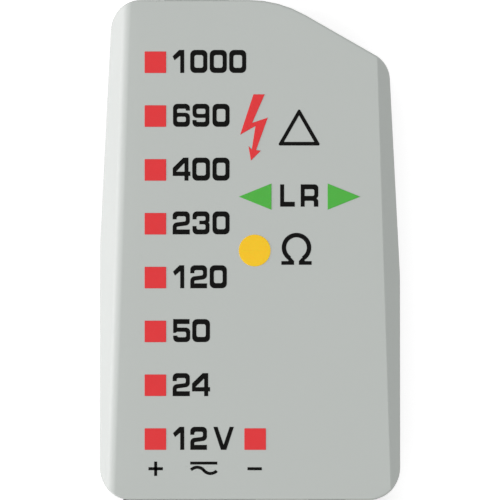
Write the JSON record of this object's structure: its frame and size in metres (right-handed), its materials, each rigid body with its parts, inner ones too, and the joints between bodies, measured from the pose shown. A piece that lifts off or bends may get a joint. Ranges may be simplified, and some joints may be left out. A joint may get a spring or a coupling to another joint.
{
  "type": "two-pole voltage tester",
  "caption": "Hand-held two-pole voltage tester with a flat display head, a long round grip, a probe ahead of the head and a second probe docked beside the grip.",
  "frame": {"origin": "middle of the overall box at the level of the back face that it lies on", "axes": "+Y runs along the tester towards the point of its main probe, +Z is the way the display faces, +X is to the right seen from the front"},
  "size_m": [0.064, 0.2802, 0.0331],
  "materials": {
    "cover_plastic": "satin",
    "housing_plastic": "matte",
    "soft_rubber": "matte",
    "mask_plastic": "matte",
    "red_lens": "satin",
    "green_lens": "satin",
    "yellow_lens": "satin",
    "board": "satin",
    "led_body": "gloss",
    "chip_body": "matte",
    "resistor_body": "gloss",
    "motor_steel": "satin",
    "battery_can": "satin",
    "contact_metal": "satin",
    "screw_steel": "satin",
    "key_plastic": "satin",
    "clear_lens": "clear",
    "pin_metal": "polished",
    "sleeve_plastic": "satin",
    "guard_plastic": "satin"
  },
  "bodies": {
    "tester": {"display_cover": "cover_plastic", "front_housing": "housing_plastic", "rear_housing": "housing_plastic", "cover_seal": "soft_rubber", "light_mask": "mask_plastic", "level_window_1000": "red_lens", "level_window_690": "red_lens", "level_window_400": "red_lens", "level_window_230": "red_lens", "level_window_120": "red_lens", "level_window_50": "red_lens", "level_window_24": "red_lens", "level_window_12": "red_lens", "polarity_window": "red_lens", "danger_window": "red_lens", "phase_window_left": "green_lens", "phase_window_right": "green_lens", "continuity_window": "yellow_lens", "main_board": "board", "indicator_leds": "led_body", "controller_chip": "chip_body", "series_resistors": "resistor_body", "buzzer": "chip_body", "vibration_motor": "motor_steel", "battery_1": "battery_can", "battery_2": "battery_can", "battery_holder": "mask_plastic", "battery_contacts": "contact_metal", "housing_screws": "screw_steel", "test_switch": "motor_steel", "torch_switch": "motor_steel", "torch_lens": "clear_lens", "torch_led": "led_body", "probe_pin": "pin_metal", "probe_sleeve": "sleeve_plastic", "probe_contact": "contact_metal", "grip_inlay": "soft_rubber", "cable_gland": "soft_rubber", "parking_socket": "mask_plastic"},
    "second_probe": {"second_front_shell": "housing_plastic", "second_rear_shell": "housing_plastic", "second_finger_guard": "soft_rubber", "second_probe_pin": "pin_metal", "second_probe_sleeve": "sleeve_plastic", "second_board": "board", "second_switch": "motor_steel", "second_resistor": "resistor_body", "second_cable_gland": "soft_rubber", "second_screws": "screw_steel"},
    "second_key": {"second_button": "key_plastic"},
    "test_key": {"test_button": "key_plastic"},
    "torch_key": {"torch_button": "cover_plastic"},
    "tip_cover": {"tip_guard": "guard_plastic"},
    "battery_lid": {"battery_door": "housing_plastic"},
    "motor_weight": {"eccentric_weight": "motor_steel"}
  },
  "joints": [
    {"name": "second_probe_dock", "type": "slide", "parent": "tester", "child": "second_probe", "axis": [0, -1, 0], "range_m": [0, 0.06]},
    {"name": "second_button_press", "type": "slide", "parent": "second_probe", "child": "second_key", "axis": [0, 0, -1], "range_m": [0, 0.0015], "stiffness_N_per_m": 300, "springref_m": -0.001},
    {"name": "test_button_press", "type": "slide", "parent": "tester", "child": "test_key", "axis": [0, 0, -1], "range_m": [0, 0.0015], "stiffness_N_per_m": 300, "springref_m": -0.001},
    {"name": "torch_button_press", "type": "slide", "parent": "tester", "child": "torch_key", "axis": [0, 0, -1], "range_m": [0, 0.0015], "stiffness_N_per_m": 300, "springref_m": -0.001},
    {"name": "tip_guard_slide", "type": "slide", "parent": "tester", "child": "tip_cover", "axis": [0, 1, 0], "range_m": [0, 0.022]},
    {"name": "battery_door_slide", "type": "slide", "parent": "tester", "child": "battery_lid", "axis": [0, -1, 0], "range_m": [0, 0.064]},
    {"name": "motor_weight_spin", "type": "hinge", "parent": "tester", "child": "motor_weight", "pos_m": [-0.02, 0.0336, 0.0069], "axis": [0, 1, 0], "continuous": true}
  ]
}
